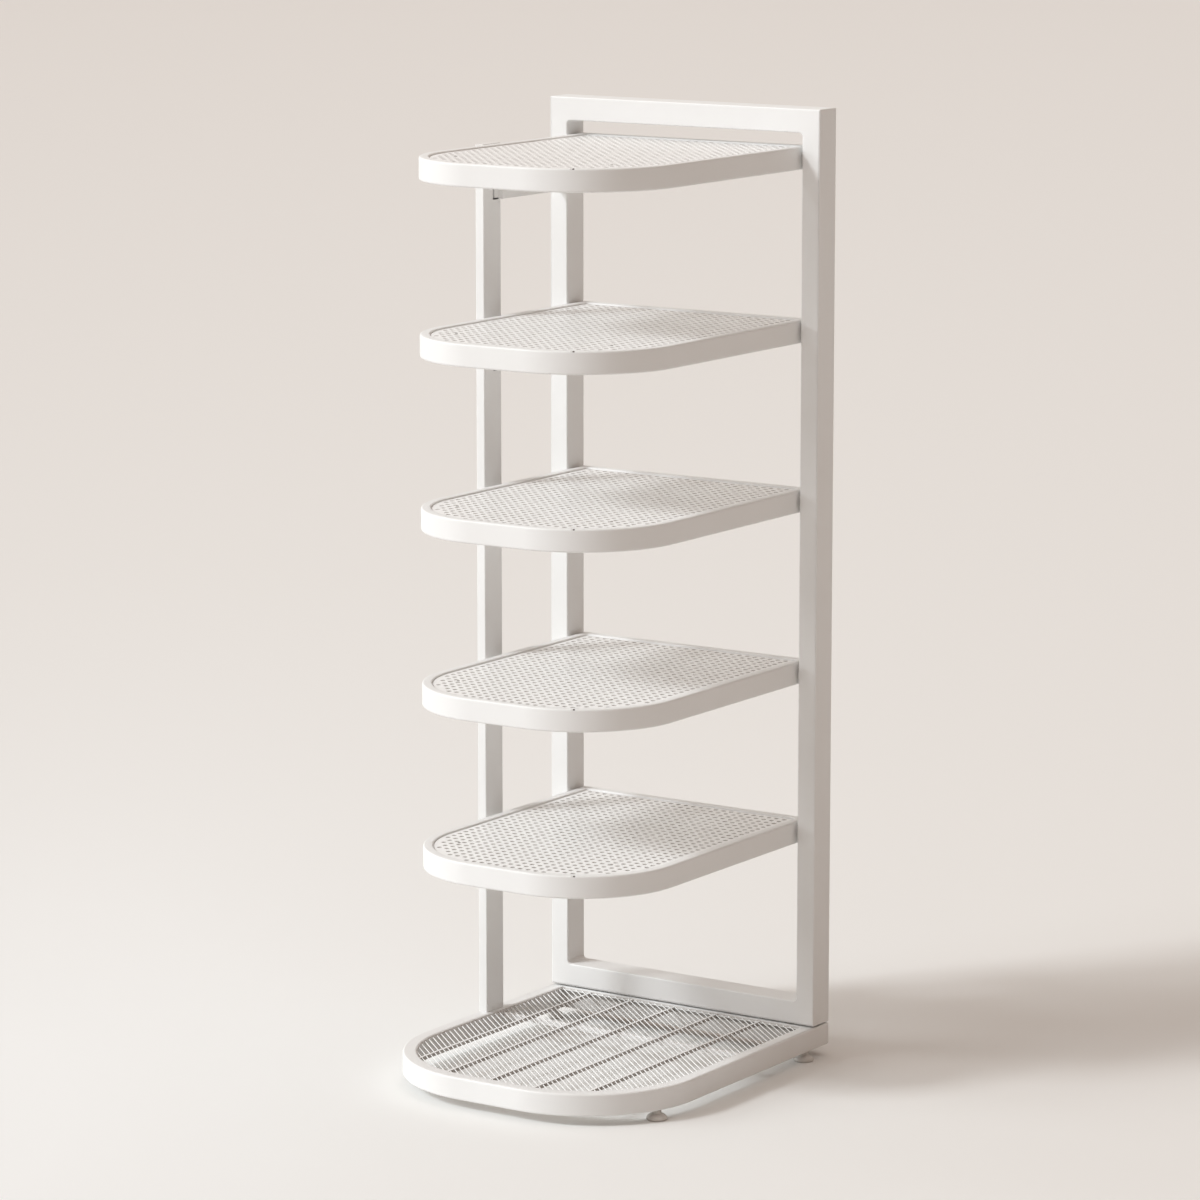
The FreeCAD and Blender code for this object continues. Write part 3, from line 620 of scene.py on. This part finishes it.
# Rails under the left of each shelf; a tongue at the front hooks into the post, in a slot that shows round it

POST_RIGHT = span("left_post")[1][0]
RAIL_WEB = 6
RAIL_FLANGE = 3
RAIL_EDGE = 0.4
RAIL_EDGE_STEPS = 3
TONGUE_LAP = 8
TONGUE_REST = 1
TONGUE_ROOT = 1
TONGUE_HEIGHT = 20
SLOT_SHOWS = 1.1


def rail_section(bottom, top, right):
    """The rail's outline seen from the front: a web that hangs from a flange, with eased corners."""
    edge, steps = RAIL_EDGE, RAIL_EDGE_STEPS
    web_right, flange_low = POST_RIGHT + RAIL_WEB, top - RAIL_FLANGE
    return (arc(POST_RIGHT + edge, bottom + edge, edge, 180, 270, steps)
            + arc(web_right - edge, bottom + edge, edge, 270, 360, steps)
            + [(web_right, flange_low)]
            + arc(right - edge, flange_low + edge, edge, 270, 360, steps)
            + arc(right - edge, top - edge, edge, 0, 90, steps)
            + arc(POST_RIGHT + edge, top - edge, edge, 90, 180, steps))


for tier in TIERS:
    low, high = span(f"shelf_rail_{tier}")
    front = low[1] + TONGUE_LAP
    profile = rounded(high[1] - front, RAIL_EDGE, EASED_EDGE_STEPS)
    angle = plate([rail_section(low[2], high[2], high[0])], profile, forwards(high[1]))
    tongue = block((low[0], low[1] + SLOT_SHOWS, low[2] + SLOT_SHOWS),
                   (POST_RIGHT + TONGUE_ROOT, front + TONGUE_REST, low[2] + TONGUE_HEIGHT))
    make(f"hook_rail_{tier}", *join(angle, tongue), COAT, node=f"shelf_rail_{tier}")


# Small marks: at the joint of each rim a white weld bump beside a dark mark of painted shade for a notch, and two
# rivets in each sheet, dark with painted shadow round their heads

MARK_SIDES = 16
JOINT_TURN = math.radians(-61)
JOINT_APART = math.radians(1.6)
JOINT_INSET = 1.3
JOINT_SINK = 0.95
JOINT_OUTLINE = [(0, 0), (1.25, 0), (1.2, 0.5), (0.85, 0.95), (0.4, 1.15), (0, 1.2)]
RIVET_OUTLINE = [(0, 0), (1.6, 0), (1.5, 0.25), (1.0, 0.5), (0, 0.6)]
RIVETS = ((-92, -95), (80, -90))


def mark(outline, bottom, x, y):
    return lathe([(radius, bottom + height) for radius, height in outline], x, y, MARK_SIDES)


for tier in TIERS:
    low, high = span(f"shelf_rim_{tier}")
    reach = SHELF_RADIUS - JOINT_INSET
    for name, turn, material in (("joint_weld", JOINT_TURN - JOINT_APART, COAT), ("joint_shade_mark", JOINT_TURN, SEAM_SHADE)):
        x = high[0] - SHELF_RADIUS + reach * math.cos(turn)
        y = low[1] + SHELF_RADIUS + reach * math.sin(turn)
        make(f"{name}_{tier}", *mark(JOINT_OUTLINE, high[2] - JOINT_SINK, x, y), material)
    top = span(f"shelf_panel_{tier}")[1][2]
    make(f"sheet_rivets_{tier}", *join(*[mark(RIVET_OUTLINE, top, x, y) for x, y in RIVETS]), EDGE_SHADE)


# Solids that keep their own shape take a finish, and their sharp edges are eased

EASE_WIDTH = 0.5 * MM
EASE_SEGMENTS = 2
EASE_FROM = math.radians(40)
FINISH = {"post_cap": CAP, "frame_pads": RUBBER, "left_post": COAT}
for tier in TIERS:
    FINISH[f"shelf_lugs_{tier}"] = COAT
for node, material in FINISH.items():
    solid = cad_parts[node]
    for place in solid.material_slots:
        place.material = material
    ease = solid.modifiers.new("eased_edges", "BEVEL")
    ease.width = EASE_WIDTH
    ease.segments = EASE_SEGMENTS
    ease.limit_method = "ANGLE"
    ease.angle_limit = EASE_FROM


# Floor: pale paper with painted light, palest in a painted pool of light to the left of the tower's front and
# darker with distance. Lengths here are in metres.

FLOOR_RADIUS = 60
FLOOR_GRAIN = 700
FLOOR_DETAIL = 3
FLOOR_ROUGH = (0.85, 0.95)
POOL_CENTRE = (-0.39, -0.50, 0)
POOL_TURN = math.radians(33.8)
POOL_WIDTH = 1 / 3
# Logarithm of the distance, to the base of ten, where the tones start and end
POOL_SPAN = (-0.5, 1.3)
# Floor colours, from the middle of the painted pool of light out to its painted falloff
FLOOR_TONES = [
    (0.0, (0.925, 0.942, 0.938)),
    (0.25, (0.903, 0.916, 0.908)),
    (0.55, (0.84, 0.835, 0.814)),
    (1.0, (0.772, 0.748, 0.718)),
]


def disc(name, radius, rings=40, sides=96):
    mesh = bpy.data.meshes.new(name)
    vertices, faces = [(0, 0, 0)], []
    turns = [2 * math.pi * i / sides for i in range(sides)]
    for ring in range(1, rings + 1):
        reach = radius * (ring / rings) ** 2
        vertices += [(reach * math.cos(t), reach * math.sin(t), 0) for t in turns]
    for i in range(sides):
        after = (i + 1) % sides
        faces.append((0, 1 + i, 1 + after))
        for ring in range(rings - 1):
            near, far = 1 + ring * sides, 1 + (ring + 1) * sides
            faces.append((near + i, far + i, far + after, near + after))
    mesh.from_pydata(vertices, [], faces)
    piece = bpy.data.objects.new(name, mesh)
    bpy.context.scene.collection.objects.link(piece)
    return piece


def floor_material():
    material, nodes, links, shader = new_material("pale_paper_with_painted_light")
    position = nodes.new("ShaderNodeNewGeometry").outputs["Position"]
    pool = nodes.new("ShaderNodeMapping")
    pool.vector_type = "TEXTURE"
    pool.inputs["Location"].default_value = POOL_CENTRE
    pool.inputs["Rotation"].default_value = (0, 0, POOL_TURN)
    pool.inputs["Scale"].default_value = (POOL_WIDTH, 1, 1)
    links.new(position, pool.inputs["Vector"])
    length = nodes.new("ShaderNodeVectorMath")
    length.operation = "LENGTH"
    links.new(pool.outputs["Vector"], length.inputs[0])
    distance = nodes.new("ShaderNodeMath")
    distance.operation = "LOGARITHM"
    distance.inputs[1].default_value = 10
    links.new(length.outputs["Value"], distance.inputs[0])
    share = spread(nodes, links, distance.outputs["Value"], 0, 1, *POOL_SPAN)
    links.new(ramp(nodes, links, share, FLOOR_TONES), shader.inputs["Base Color"])
    fine = noise(nodes, links, FLOOR_GRAIN, FLOOR_DETAIL, position)
    links.new(spread(nodes, links, fine, *FLOOR_ROUGH), shader.inputs["Roughness"])
    shader.inputs["Specular IOR Level"].default_value = 0.0
    return material


floor = disc("seamless_floor", FLOOR_RADIUS)
floor.data.materials.append(floor_material())


# Light

WORLD_LIGHT = (1.0, 0.57, 0.36, 1)
WORLD_STRENGTH = 0.16
WORLD_SEEN = (0.74, 0.68, 0.62, 1)
KEY_TRAVEL = (0.487, 0.646, -0.588)
# Name, direction of travel, strength, angle in degrees, colour
LAMPS = (
    ("key", KEY_TRAVEL, 1.26, 10, (0.93, 0.97, 1.0)),
    ("key_halo", KEY_TRAVEL, 0.62, 30, (0.90, 0.96, 1.0)),
    ("low_key", (0.740, 0.579, -0.342), 0.87, 22, (0.95, 0.99, 1.0)),
    ("left_fill", (0.926, 0.049, -0.375), 0.28, 22, (0.85, 0.96, 1.0)),
    ("overhead", (0, 0, -1), 1.09, 100, (1.0, 0.97, 0.93)),
)


def studio_world():
    """Dim warm light from all round; seen directly, or in a reflection, it has the tone of the far floor."""
    world = bpy.data.worlds.new("studio")
    bpy.context.scene.world = world
    world.use_nodes = True
    nodes, links = world.node_tree.nodes, world.node_tree.links
    around = nodes["Background"]
    around.inputs["Color"].default_value = WORLD_LIGHT
    around.inputs["Strength"].default_value = WORLD_STRENGTH
    seen = nodes.new("ShaderNodeBackground")
    seen.inputs["Color"].default_value = WORLD_SEEN
    path = nodes.new("ShaderNodeLightPath")
    either = path.outputs["Is Camera Ray"]
    for ray in ("Is Glossy Ray", "Is Transmission Ray"):
        most = nodes.new("ShaderNodeMath")
        most.operation = "MAXIMUM"
        links.new(either, most.inputs[0])
        links.new(path.outputs[ray], most.inputs[1])
        either = most.outputs["Value"]
    mix = nodes.new("ShaderNodeMixShader")
    links.new(either, mix.inputs["Fac"])
    links.new(around.outputs["Background"], mix.inputs[1])
    links.new(seen.outputs["Background"], mix.inputs[2])
    links.new(mix.outputs["Shader"], nodes["World Output"].inputs["Surface"])


def sun(name, travel, strength, angle, colour):
    lamp = bpy.data.lights.new(name, "SUN")
    lamp.energy = strength
    lamp.angle = math.radians(angle)
    lamp.color = colour
    holder = bpy.data.objects.new(name, lamp)
    holder.rotation_euler = Vector(travel).to_track_quat("-Z", "Y").to_euler()
    bpy.context.scene.collection.objects.link(holder)


studio_world()
for row in LAMPS:
    sun(*row)


# Camera, fitted to edges of the tower in the photo

EYE_PLACE = (2.58596, -3.85688, 1.29894)
EYE_DOWN = 10.1714
EYE_TURN = 33.7709
EYE_LENS = 148.18
EYE_SENSOR = 36
EYE_REACH = 200
eye = bpy.data.cameras.new("photo_view")
eye.sensor_width = EYE_SENSOR
eye.lens = EYE_LENS
eye.clip_end = EYE_REACH
camera = bpy.data.objects.new("photo_view", eye)
camera.location = EYE_PLACE
camera.rotation_euler = (math.radians(90 - EYE_DOWN), 0, math.radians(EYE_TURN))
bpy.context.scene.collection.objects.link(camera)
bpy.context.scene.camera = camera
bpy.context.scene.view_settings.view_transform = "Standard"
